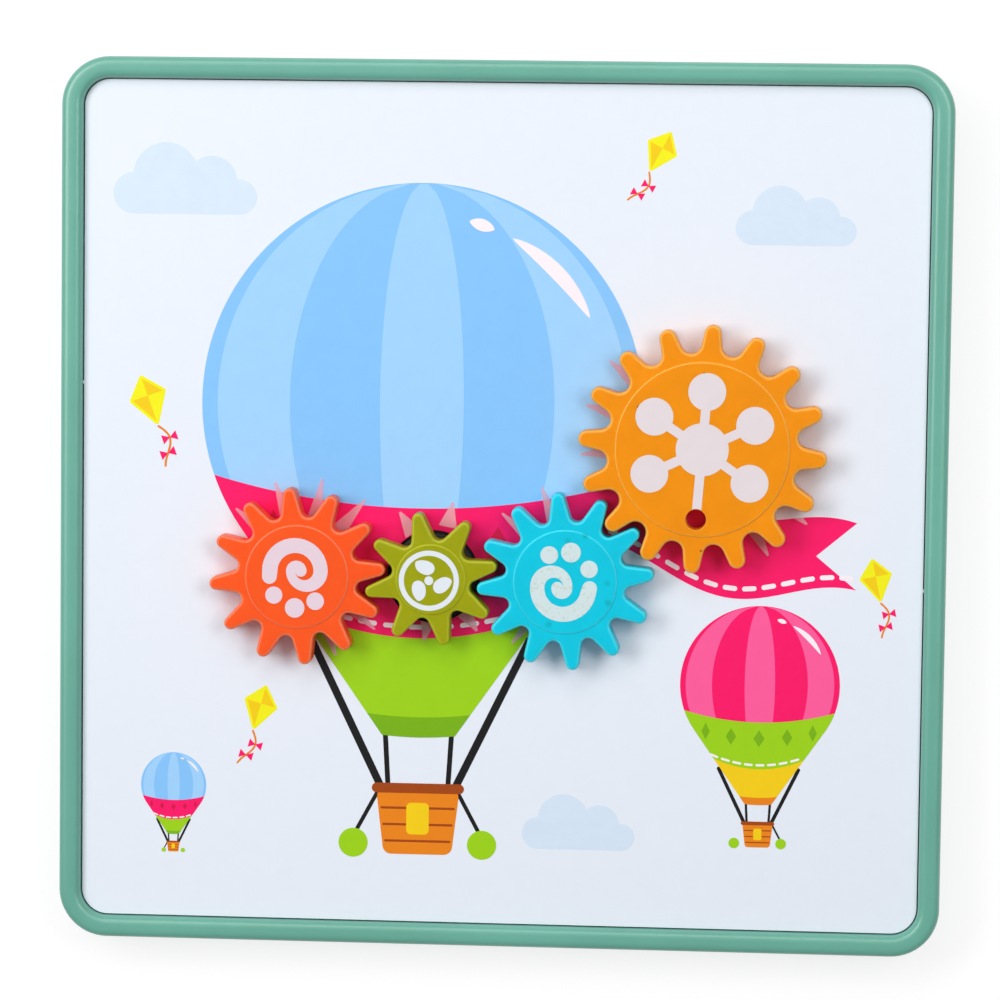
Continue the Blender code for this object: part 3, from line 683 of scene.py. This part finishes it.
def make_card():
    """The white card with its windows and the two paper nicks left from die-cutting."""
    inset = BEZEL_WIDTH + SHEET_GAP
    windows = [circle(*gear_centre(colour), WINDOW_RADIUS, 96) for colour in GEARS]
    mesh = plate_mesh(
        "card_sheet", [rounded_square(inset)] + windows, CARD_BASE, SHEET_TOP,
        SHEET_ROUNDING, segments=2,
    )
    edge = HALF_SIDE - inset
    nicks = []
    for side, start in NICKS:
        left, right = sorted((side * (edge - NICK_ROOT), side * (edge + NICK_REACH)))
        nicks.append(box_mesh(
            "nick", (left, start, NICK_BASE), (right, start + NICK_LENGTH, NICK_TOP)
        ))
    mesh = combined("card_sheet", mesh, [("UNION", joined("nicks", nicks))])
    piece("card_sheet", mesh, PAPER, "card", ("picture_card",))


def finish_cad_nodes():
    """Procedural materials on the CAD parts that show as they are."""
    for node, material in [("peg_board", BLACK), ("back_cover", BLACK)] + [
        (f"back_screw_{number}", STEEL) for number in range(1, 10)
    ]:
        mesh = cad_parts[node].data
        mesh.materials.clear()
        mesh.materials.append(material)


# Pegs and gears

def make_peg(colour):
    """Axle peg: plug, flange and slotted snap axle."""
    name = f"{colour}_peg_turned"
    flange = WINDOW_RADIUS - FLANGE_GAP
    mesh = turned_mesh(name, [
        (AXLE_RADIUS - SNAP_BEAD, AXLE_TOP),
        (AXLE_RADIUS + SNAP_SHOULDER[0], SNAP_LEVEL + SNAP_SHOULDER[1]),
        (AXLE_RADIUS + SNAP_BEAD, SNAP_LEVEL), (AXLE_RADIUS, SNAP_LEVEL - SNAP_BEAD_TAPER),
        (AXLE_RADIUS, FLANGE_TOP + PEG_ROUNDING), (AXLE_RADIUS + PEG_ROUNDING, FLANGE_TOP),
        (flange - PEG_ROUNDING, FLANGE_TOP),
        (flange - FLANGE_EASE[0], FLANGE_TOP - FLANGE_EASE[1]),
        (flange, FLANGE_TOP - PEG_ROUNDING), (flange, FLANGE_BASE),
        (PEG_PLUG_RADIUS, FLANGE_BASE), (PEG_PLUG_RADIUS, PLUG_BASE + PLUG_CHAMFER),
        (PEG_PLUG_RADIUS - PLUG_CHAMFER, PLUG_BASE),
    ], steps=64)
    reach = PEG_PLUG_RADIUS + CUT_OVER
    slot = box_mesh(
        "peg_slot", (-reach, -PEG_SLOT_WIDTH / 2, AXLE_TOP - PEG_SLOT_DEPTH),
        (reach, PEG_SLOT_WIDTH / 2, AXLE_TOP + CUT_OVER),
    )
    mesh = combined(name, mesh, [("DIFFERENCE", slot)])
    piece(
        name, mesh, BLACK, f"{colour}_peg", (f"{colour}_axle_peg",),
        gear_centre(colour),
    )


def pocket_outline(inner, outer, number, turn, steps=12):
    """One hollow between two ribs: an arc along the rim and one along the hub."""
    pitch = 2 * math.pi / GEAR_RIBS
    middle = turn + (number + 0.5) * pitch
    points = []
    for radius, order in ((outer, 1), (inner, -1)):
        reach = pitch / 2 - math.asin(GEAR_RIB_WIDTH / 2 / radius)
        for step in range(steps + 1):
            points.append(polar(radius, middle + order * reach * (2 * step / steps - 1)))
    return points


def make_gear(colour, turn):
    """One moulded gear with rounded edges, raised disc, hollow ribbed underside and bore."""
    teeth = GEARS[colour][0]
    name = f"{colour}_gear_moulded"
    body = plate_mesh(
        name, [tooth_outline(teeth, turn)], GEAR_BASE, GEAR_TOP, EDGE_ROUNDING, segments=6
    )
    root = root_radius(teeth)
    disc_radius = root - TOOTH_FORMS[teeth]["disc"] * MODULE
    top = DISC_TOP - SYMBOL_PROUD
    below = GEAR_BASE - CUT_OVER
    disc = turned_mesh("disc", [
        *((disc_radius - inward, top - down) for inward, down in DISC_EDGE),
        (disc_radius, GEAR_TOP - DISC_FOOT), (disc_radius, GEAR_TOP - DISC_ROOT),
    ], steps=120)
    cranked = colour == "orange"
    first_rib = crank_angle(turn) if cranked else turn
    crank = polar(CRANK_HOLE_REACH, first_rib)
    hollow = joined("hollow", [
        plate_mesh("pocket", [
            pocket_outline(HUB_RADIUS, root - GEAR_RIM_WALL, number, first_rib)
        ], below, GEAR_CEILING)
        for number in range(GEAR_RIBS)
    ])
    if cranked:
        boss_radius = CRANK_HOLE_RADIUS + CRANK_BOSS_WALL
        boss = shifted(turned_mesh("boss", [
            (boss_radius, GEAR_CEILING + CUT_OVER), (boss_radius, below - CUT_OVER),
        ], steps=48), *crank)
        hollow = combined("hollow", hollow, [("DIFFERENCE", boss)])
    groove = SNAP_BEAD_TAPER + CLEARANCE
    bore = turned_mesh("bore", [
        (BORE_RADIUS, GEAR_CEILING), (BORE_RADIUS, SNAP_LEVEL + groove),
        (BORE_RADIUS + SNAP_BEAD, SNAP_LEVEL), (BORE_RADIUS, SNAP_LEVEL - groove),
        (BORE_RADIUS, GEAR_BASE + MOUTH_CHAMFER), (BORE_RADIUS + MOUTH_CHAMFER + CUT_OVER, below),
    ], steps=48)
    steps = [("UNION", disc), ("DIFFERENCE", hollow), ("DIFFERENCE", bore)]
    if cranked:
        mouth = CRANK_HOLE_RADIUS + MOUTH_CHAMFER
        eased = 0.3 * MOUTH_CHAMFER
        steps.append(("DIFFERENCE", shifted(turned_mesh("crank_hole", [
            (mouth + CUT_OVER, top + CUT_OVER), (mouth, top),
            (CRANK_HOLE_RADIUS + eased, top - eased), (CRANK_HOLE_RADIUS, top - MOUTH_CHAMFER),
            (CRANK_HOLE_RADIUS, below),
        ], steps=64), *crank)))
    piece(
        name, combined(name, body, steps), GEAR_PLASTICS[colour], f"{colour}_wheel",
        (f"{colour}_gear",), gear_centre(colour),
    )


# White prints on the gears. Their sizes are in photograph pixels, y up, at the gears' faces.
PRINT_PIXEL = 0.2985        # millimetres
PHOTO_TURN = 1.1            # degrees, from the photograph's sides to the board's


def spiral_print():
    """A curled arm of half circles on one level, with three dots under it."""
    level = 5.0
    arm = []
    for left, right, start, end in (
        (-34.8, 31.1, 180, 0), (-10.8, 31.1, 360, 180), (-10.8, 9.9, 180, 0),
        (-1.7, 9.9, 360, 180), (-1.7, 16.8, 180, 360), (-19.3, 16.8, 0, 180),
    ):
        bend = arc((left + right) / 2, level, (right - left) / 2, start, end, 20)
        arm += bend[1:] if arm else bend
    arm += arc(-27.5, -0.5, 7.4, 0, -180, 14)
    dots = ((-23.3, -19.2, 8.6), (-2.5, -32.0, 9.8), (18.2, -25.3, 8.8))
    return [[arm]] + [[circle(*dot)] for dot in dots]


def fan_print():
    """A fan with three swept leaf-shaped blades, in a ring."""
    ring_outer, ring_inner, hub = 30.1, 24.9, 4.4
    inner, outer, lean, sweep, steps = 5.6, 23.0, -14, 26, 24
    lower_half, upper_half = 9.6, 7.4   # how broad each side of a blade is

    def spot(share, across):
        """A place on a blade: a share of the way out, and across it."""
        radius = inner + (outer - inner) * share
        angle = math.radians(middle + sweep * share + lean)
        return (
            radius * math.cos(angle) - across * math.sin(angle),
            radius * math.sin(angle) + across * math.cos(angle),
        )

    shapes = [[circle(0, 0, ring_outer, 96), circle(0, 0, ring_inner, 96)], [circle(0, 0, hub)]]
    shares = [step / steps for step in range(1, steps)]
    swell = [math.sin(math.pi * share ** 0.86) ** 0.62 for share in shares]
    for middle in (111, -13, 229):
        lower = [spot(share, -lower_half * full) for share, full in zip(shares, swell)]
        upper = [spot(share, upper_half * full) for share, full in zip(shares, swell)]
        shapes.append([[spot(0, 0)] + lower + [spot(1, 0)] + upper[::-1]])
    return shapes


def hub_print(crank_turn):
    """A hub with five discs on spokes and a sixth spoke to the crank hole."""
    hub, reach, knob, half_spoke = 26.2, 57.4, 18.7, 4.6
    shapes = [[circle(0, 0, hub, 72)]]
    for angle in (84.8, 24.3, -35.8, -155.7, 145.0):
        turn = math.radians(angle)
        x, y = polar(reach, turn)
        shapes.append([circle(x, y, knob)])
        near, far = ((share * x, share * y) for share in (0.3, 0.8))
        shapes.append([capsule(near, far, half_spoke)])
    start, bare_edge = 17.0, 0.9
    clear = CRANK_HOLE_RADIUS / PRINT_PIXEL + bare_edge
    spread = math.degrees(math.asin(half_spoke / clear))
    end = arc(CRANK_HOLE_REACH / PRINT_PIXEL, 0, clear, 180 + spread, 180 - spread, 8)
    spoke = [(start, -half_spoke)] + end + [(start, half_spoke)]
    shapes.append([placed(spoke, turn=crank_turn)])
    return shapes


def make_print(colour, shapes, turn, off_x=0.0, off_y=0.0):
    """The white print on a gear's disc, as one thin closed layer, a little off its middle."""
    meshes = [
        plate_mesh(
            "ink", [placed(outline, size=PRINT_PIXEL) for outline in shape],
            DISC_TOP - 2 * SYMBOL_PROUD, DISC_TOP,
        )
        for shape in shapes
    ]
    mesh = combined("ink", meshes[0], [("UNION", joined("ink_more", meshes[1:]))])
    shifted(mesh, off_x, off_y, math.radians(turn))
    piece(
        f"{colour}_gear_print", mesh, SYMBOL_INKS[colour], f"{colour}_wheel",
        (), gear_centre(colour),
    )


# The card's picture: a generic hot-air balloon, drawn for this part
INKS = {
    "sky": tone(134, 196, 250),
    "sky_light": tone(160, 210, 253),
    "haze": tone(214, 230, 247),
    "magenta": tone(252, 8, 104),
    "magenta_deep": tone(214, 4, 66),
    "magenta_light": tone(255, 92, 156),
    "stitch": tone(250, 240, 246),
    "lime": tone(156, 210, 12),
    "lime_deep": tone(120, 178, 8),
    "rope": tone(18, 18, 20),
    "basket": tone(236, 132, 14),
    "weave": tone(162, 68, 4),
    "yellow": tone(244, 240, 10),
    "amber": tone(246, 206, 8),
}
SKY_CLOTH = ("sky", "sky_light", "magenta", "magenta_deep", "lime", "lime_deep")
PINK_CLOTH = ("magenta", "magenta_light", "lime", "lime_deep", "amber", "basket")
CLOUDS = ((-96.0, 92.0, 1.15), (86.0, 84.0, 0.95), (24.0, -98.0, 0.9))      # x, y, size
KITES = (                   # x, y, size and turn
    (-106.0, 30.0, 0.95, 20), (46.0, 106.0, 0.8, -28), (112.0, -20.0, 0.8, 12),
    (-72.0, -62.0, 0.85, -16),
)
layers = {}

BALLOON_PLACE = (-24.0, 30.0)
BALLOON = 66.0              # envelope's radius
TAPER = math.radians(35)    # where the round part runs into the taper
MOUTH = 11.0                # half-width of the mouth
TAPER_START = BALLOON * math.sin(TAPER)
MOUTH_DROP = TAPER_START + (BALLOON * math.cos(TAPER) - MOUTH) / math.tan(TAPER)
BAND_TOP, BAND_BASE = (-22.0, 9.0), (-62.0, 8.0)    # seams: level at the sides, and sag
HEM_TOP, HEM_BASE = (-MOUTH_DROP + 6.5, 1.0), (-MOUTH_DROP, 0.6)
BAND_STITCHES = (-58.5, 8.2)
STITCH, STITCH_GAP, STITCH_RADIUS = 4.3, 3.0, 0.72
GORE_TOP, GORE_BASE = 0.995 * BALLOON, -44.0
GLEAM_REACH = 56.5
BASKET_DROP = 16.0          # from the mouth to the basket's rim


def ink(colour, layer, outline):
    """Note a shape for printing."""
    layers.setdefault((layer, colour), []).append(outline)


def half_width(level):
    """The envelope's half-width at a level measured from its middle."""
    if level > -TAPER_START:
        return math.sqrt(max(0.0, BALLOON ** 2 - level ** 2))
    return BALLOON * math.cos(TAPER) - (-level - TAPER_START) * math.tan(TAPER)


def envelope_outline():
    """Right round the envelope, from the mouth's right end to its left one."""
    return [(MOUTH, -MOUTH_DROP)] + arc(0, 0, BALLOON, -35, 215, 120) + [(-MOUTH, -MOUTH_DROP)]


def latitude(level, sag, steps=40):
    """A seam round the envelope, from its left edge to its right one."""
    reach = half_width(level)
    points = []
    for step in range(steps + 1):
        share = 2 * step / steps - 1
        points.append((reach * share, level - sag * (1 - share ** 2)))
    return points


def envelope_band(top, base, steps=16):
    """The envelope between two seams, each a level and a sag."""
    left = []
    for step in range(1, steps):
        level = top[0] + (base[0] - top[0]) * step / steps
        left.append((-half_width(level), level))
    right = [(-x, y) for x, y in reversed(left)]
    return left + latitude(*base) + right + latitude(*top)[::-1]


def gore(low, high, steps=40):
    """A lengthwise panel of the envelope, between two shares of its half-width."""
    levels = [GORE_TOP + (GORE_BASE - GORE_TOP) * step / steps for step in range(steps + 1)]
    left = [(half_width(level) * low, level) for level in levels]
    right = [(half_width(level) * high, level) for level in reversed(levels)]
    return left + right


def gleam(start, end, width, steps=24):
    """A crescent of light along the envelope."""
    outer, inner = [], []
    for step in range(steps + 1):
        share = step / steps
        angle = math.radians(start + (end - start) * share)
        reach = width / 2 * math.sin(math.pi * share) ** 0.7
        for side, radius in ((outer, GLEAM_REACH + reach), (inner, GLEAM_REACH - reach)):
            side.append(polar(radius, angle))
    return outer + inner[::-1][1:-1]


def stitches(seam, fine):
    """Bars along a seam, with gaps between them."""
    bars = []
    start, run, sewn = 0, 0.0, True
    for number in range(1, len(seam)):
        run += math.dist(seam[number - 1], seam[number])
        if run >= (STITCH if sewn else STITCH_GAP) * fine:
            if sewn:
                bars.append(capsule(seam[start], seam[number], STITCH_RADIUS * fine))
            start, run, sewn = number, 0.0, not sewn
    return bars


def draw_balloon(middle_x, middle_y, size, fine, cloth=SKY_CLOTH):
    """One balloon; cloth names its inks from the top down, and fine thickens its lines."""
    top, top_light, band, band_deep, skirt, skirt_deep = cloth
    rim = -MOUTH_DROP - BASKET_DROP

    def put(colour, layer, outline):
        ink(colour, layer + 1, placed(outline, middle_x, middle_y, size))

    put(top, 0, envelope_outline())
    for low, high in ((-0.93, -0.60), (-0.19, 0.19), (0.60, 0.93)):
        put(top_light, 1, gore(low, high))
    put(band, 2, envelope_band(BAND_TOP, BAND_BASE))
    put(skirt, 2, envelope_band(BAND_BASE, HEM_BASE))
    put(skirt_deep, 3, envelope_band(HEM_TOP, HEM_BASE))
    for start, end, width in ((28, 62, 4.4), (68, 76, 3.6)):
        put("stitch", 3, gleam(start, end, width))
    level, sag, broad, tall = -36.0, 8.5, 4.6, 7.0      # the band's diamonds
    for share in (-0.80, -0.42, 0.0, 0.42, 0.80):
        x, y = half_width(level) * share, level - sag * (1 - share ** 2)
        half = broad * math.sqrt(1 - 0.7 * share ** 2)
        put(band_deep, 3, [(x - half, y), (x, y - tall), (x + half, y), (x, y + tall)])
    for bar in stitches(latitude(*BAND_STITCHES, 240), fine):
        put("stitch", 3, bar)
    for side in (-1, 1):
        for x, y, end_x, end_y, radius in (
            (MOUTH - 1, -MOUTH_DROP + 1, 9.0, rim, 0.75), (33.0, -70.0, 11.5, rim + 1, 1.15),
            (12.0, rim - 1, 19.0, rim - 14.0, 0.6),
        ):
            put("rope", 1, capsule((side * x, y), (side * end_x, end_y), radius * fine))
        put("lime", 2, circle(side * 19.4, rim - 16.8, 4.4, 40))
    put("basket", 2, rounded_outline(
        [(12.6, rim), (-12.6, rim), (-10.2, rim - 20.0), (10.2, rim - 20.0)], 2.6
    ))
    put("weave", 3, capsule((-12.4, rim), (12.4, rim), 1.5))
    for drop in (6.0, 11.0, 16.0):
        reach = 11.6 - 0.12 * drop
        put("weave", 3, capsule((-reach, rim - drop), (reach, rim - drop), 0.35 * fine))
    put("amber", 4, rounded_outline(
        [(3.4, rim - 4.4), (-3.4, rim - 4.4), (-3.4, rim - 14.0), (3.4, rim - 14.0)], 1.4
    ))


def streamer_sides(steps=64):
    """The streamer's upper and lower side, from the balloon to its tail."""
    start, length, level, fall = 14.0, 92.0, 4.0, 22.0
    wave, waves, phase = 5.0, 2.4 * math.pi, 0.4
    half, taper = 15.0, 5.0
    upper, lower = [], []
    for step in range(steps + 1):
        share = step / steps
        x = start + length * share
        middle = level - fall * share + wave * math.sin(waves * share + phase)
        upper.append((x, middle + (half - taper * share)))
        lower.append((x, middle - (half - taper * share)))
    return upper, lower


def streamer_outline():
    """Right round the streamer, with its notched tail."""
    upper, lower = streamer_sides()
    notch_depth = 12.0
    notch = (lower[-1][0] - notch_depth, (upper[-1][1] + lower[-1][1]) / 2)
    return lower + [notch] + upper[::-1]


def draw_streamer():
    """A waving pennant, flown from the big balloon's band, with a stitched edge."""
    ink("magenta", 0, streamer_outline())
    inward = 3.0
    seam = [(x, y + inward) for x, y in streamer_sides()[1]]
    for first in range(1, len(seam) - 2, 4):
        ink("stitch", 1, capsule(seam[first], seam[first + 2], STITCH_RADIUS))


def draw_cloud(x, y, size):
    """A flat-bottomed cloud of four puffs."""
    points = []
    for puff in (
        (-13.0, 0.0, 5.4, 270, 91.7), (-4.6, 4.6, 8.6, 174.7, 25.3),
        (7.4, 3.2, 6.6, 129.8, 4.8), (14.6, -0.8, 4.6, 97.8, -90),
    ):
        points += arc(*puff, 14)
    ink("haze", 0, placed(points, x, y, size))


def draw_kite(x, y, size, turn):
    """A yellow kite with a knotted tail."""

    def put(colour, layer, outline):
        ink(colour, layer, placed(outline, x, y, size, math.radians(turn)))

    put("yellow", 1, rounded_outline([(0, 8.6), (-6.2, 1.6), (0, -8.6), (6.2, 1.6)], 0.8))
    put("amber", 2, [(0, 7.2), (5.0, 1.6), (0, 1.6)])
    put("amber", 2, [(0, 1.6), (-5.0, 1.6), (0, -7.0)])
    tail = [(2.2 * math.sin(step / 3.2), -8.6 - step * 0.9) for step in range(15)]
    for number in range(len(tail) - 1):
        put("basket", 0 if number % 2 else 3, capsule(tail[number], tail[number + 1], 0.34, 4))
    for number in (5, 10):
        px, py = tail[number]
        put("magenta", 4, [(px, py), (px - 2.4, py + 1.5), (px - 2.4, py - 1.5)])
        put("magenta", 4, [(px, py), (px + 2.4, py - 1.5), (px + 2.4, py + 1.5)])


def window_tools():
    """Cylinders that cut the card's windows."""
    sides = [(WINDOW_RADIUS, CARD_TOP + CUT_OVER), (WINDOW_RADIUS, CARD_BASE - CUT_OVER)]
    return joined("windows", [
        shifted(turned_mesh("window", sides, steps=96), *gear_centre(gear)) for gear in GEARS
    ])


def make_picture():
    """Print every noted shape on the card, layer over layer, clear of the windows."""
    for (layer, colour), shapes in sorted(layers.items()):
        name = f"print_{colour}_{layer}"
        mesh = joined(name, [
            plate_mesh("ink", [shape], SHEET_TOP - INK_SINK, SHEET_TOP + INK_STEP * (layer + 1))
            for shape in shapes
        ])
        mesh = combined(name, mesh, [("DIFFERENCE", window_tools())])
        piece(name, mesh, PRINTS[colour], "card")


def make_shadow_gears(turns):
    """Pale pointed gears, printed on the big balloon where the real ones go."""
    window_gap, inset, least = 0.05, 1.2, 0.3       # in millimetres
    wide, narrow = 0.24, 0.02           # half a tooth at its root and tip, in pitches
    teeth_meshes = []
    for colour, (teeth, _, _) in GEARS.items():
        x, y = (place + SHADOW_SHIFT for place in gear_centre(colour))
        pitch = 2 * math.pi / teeth
        inner = WINDOW_RADIUS + window_gap
        root = max(root_radius(teeth) - inset, inner + least)
        tip = tip_radius(teeth) + SHADOW_OVER
        for tooth in range(teeth):
            if colour == "orange" and tooth in (CRANK_HOLE_TOOTH - 1, CRANK_HOLE_TOOTH):
                continue                # it would show through the crank hole
            middle = turns[colour] + (tooth + SHADOW_TURN) * pitch
            [point] = placed([polar(tip, middle)], x, y)
            if any(
                math.dist(point, gear_centre(other)) < tip_radius(GEARS[other][0]) + SHADOW_ROOM
                for other in GEARS if other != colour
            ):
                continue                # none is printed where two gears mesh
            outline = placed([
                polar(radius, middle + share * pitch) for share, radius in (
                    (wide, root), (narrow, tip), (-narrow, tip), (-wide, root), (-wide, inner),
                    (wide, inner),
                )
            ], x, y)
            teeth_meshes.append(
                plate_mesh("shadow_tooth", [outline], SHEET_TOP + SHADOW_BASE, CARD_TOP)
            )
    name = "print_shadow_gears"
    envelope = placed(envelope_outline(), *BALLOON_PLACE)
    ground, streamer = (
        plate_mesh("ground", [outline], CARD_TOP - over, CARD_TOP + over)
        for outline, over in ((envelope, CUT_OVER), (streamer_outline(), 1.1 * CUT_OVER))
    )
    ground = combined("ground", ground, [("UNION", streamer)])
    mesh = combined(
        name, joined(name, teeth_meshes), [("INTERSECT", ground), ("DIFFERENCE", window_tools())]
    )
    piece(name, mesh, SHADE, "card")


PRINTS = {name: paper_coat(f"ink_{name}", colour) for name, colour in INKS.items()}
SHADE = paper_coat("ink_veil", tone(255, 200, 215), opacity=0.40)
SYMBOL_INKS = {
    "coral": paper_coat("print_on_coral", tone(230, 208, 220)),
    "olive": paper_coat("print_on_olive", tone(226, 232, 240)),
    "cyan": paper_coat("print_on_cyan", tone(210, 227, 230), stain=tone(176, 192, 150)),
    "orange": paper_coat("print_on_orange", tone(228, 217, 220)),
}


# Floor, light and camera, in metres

def make_floor():
    """White floor that keeps the shadow; farther out its shading gives way to plain white."""
    bpy.ops.mesh.primitive_plane_add(size=8.0, location=(0, 0, -0.0004))
    floor = bpy.context.object
    floor.name = "floor"
    made = Finish("floor_white", Base_Color=grey(0.90), Roughness=0.9, Specular_IOR_Level=0.0)
    distance = made.output("Value", "ShaderNodeVectorMath", {0: made.places}, operation="LENGTH")
    whiteness = made.output("Result", "ShaderNodeMapRange", {
        "Value": distance, "From Min": 0.22, "From Max": 0.75, "To Min": 0.70, "To Max": 1.0,
    })
    rays = add_node(made.tree, "ShaderNodeLightPath")
    seen = made.output("Value", "ShaderNodeMath", {
        0: rays.outputs["Is Camera Ray"], 1: rays.outputs["Is Glossy Ray"],
    }, operation="MAXIMUM")
    share = made.output("Value", "ShaderNodeMath", {0: seen, 1: whiteness}, operation="MULTIPLY")
    glow = made.output("Emission", "ShaderNodeEmission", {"Color": grey(1.0), "Strength": 1.10})
    mixed = made.output("Shader", "ShaderNodeMixShader", {
        "Fac": share, 1: made.shader.outputs["BSDF"], 2: glow,
    })
    made.tree.links.new(mixed, made.tree.nodes["Material Output"].inputs["Surface"])
    floor.data.materials.append(made.material)


def make_surround():
    """A soft light all round that the camera sees as white."""
    world = bpy.data.worlds.new("surround")
    bpy.context.scene.world = world
    world.use_nodes = True
    tree = world.node_tree
    light = tree.nodes["Background"]
    light.inputs["Color"].default_value = grey(1.0)
    light.inputs["Strength"].default_value = 0.28
    shown = add_node(tree, "ShaderNodeBackground", {"Color": grey(1.0), "Strength": 1.0})
    rays = add_node(tree, "ShaderNodeLightPath")
    mixed = add_node(tree, "ShaderNodeMixShader", {
        "Fac": rays.outputs["Is Camera Ray"], 1: light.outputs["Background"],
        2: shown.outputs["Background"],
    })
    tree.links.new(mixed.outputs["Shader"], tree.nodes["World Output"].inputs["Surface"])


def make_lamp(name, place, length, width, power):
    """A soft lamp that faces the board, its length level."""
    data = bpy.data.lights.new(name, "AREA")
    data.shape = "RECTANGLE"
    data.size = length
    data.size_y = width
    data.energy = power
    lamp = link(name, data)
    lamp.location = place
    lamp.rotation_euler = (-Vector(place)).to_track_quat("-Z", "Y").to_euler()


def make_camera():
    """The photograph's camera, fitted to the frame's corners and the gears."""
    data = bpy.data.cameras.new("camera")
    data.sensor_width = 36.0
    data.lens = 152.917
    camera = link("camera", data)
    camera.location = (0.09649, 0.10628, 1.27313)
    camera.rotation_euler = [math.radians(angle) for angle in (-4.6696, 4.4533, 0.6907)]
    bpy.context.scene.camera = camera


make_frame()
make_card()
finish_cad_nodes()
tooth_angles = tooth_turns()
for gear_name, tooth_angle in tooth_angles.items():
    make_peg(gear_name)
    make_gear(gear_name, tooth_angle)
make_print("coral", spiral_print(), PHOTO_TURN, off_x=0.1, off_y=0.3)
make_print("cyan", spiral_print(), 169.6, off_x=-0.75, off_y=-0.4)
make_print("olive", fan_print(), PHOTO_TURN, off_x=-0.45, off_y=-0.35)
spoke_turn = crank_angle(tooth_angles["orange"]) - math.radians(PHOTO_TURN)
make_print("orange", hub_print(spoke_turn), PHOTO_TURN)

draw_streamer()
draw_balloon(*BALLOON_PLACE, size=1.0, fine=1.0)
draw_balloon(78.0, -52.0, size=0.36, fine=1.3, cloth=PINK_CLOTH)
draw_balloon(-98.0, -86.0, size=0.15, fine=1.8)
for cloud in CLOUDS:
    draw_cloud(*cloud)
for kite in KITES:
    draw_kite(*kite)
make_picture()
make_shadow_gears(tooth_angles)

make_floor()
make_surround()
make_lamp("top", (-0.20, 1.10, 1.25), length=1.2, width=0.9, power=8.2)
make_lamp("left", (-0.76, 0.30, 1.00), length=0.8, width=0.42, power=7.4)
make_lamp("right", (0.62, 0.32, 1.10), length=0.7, width=0.34, power=4.6)
make_camera()
bpy.context.scene.view_settings.view_transform = "Standard"
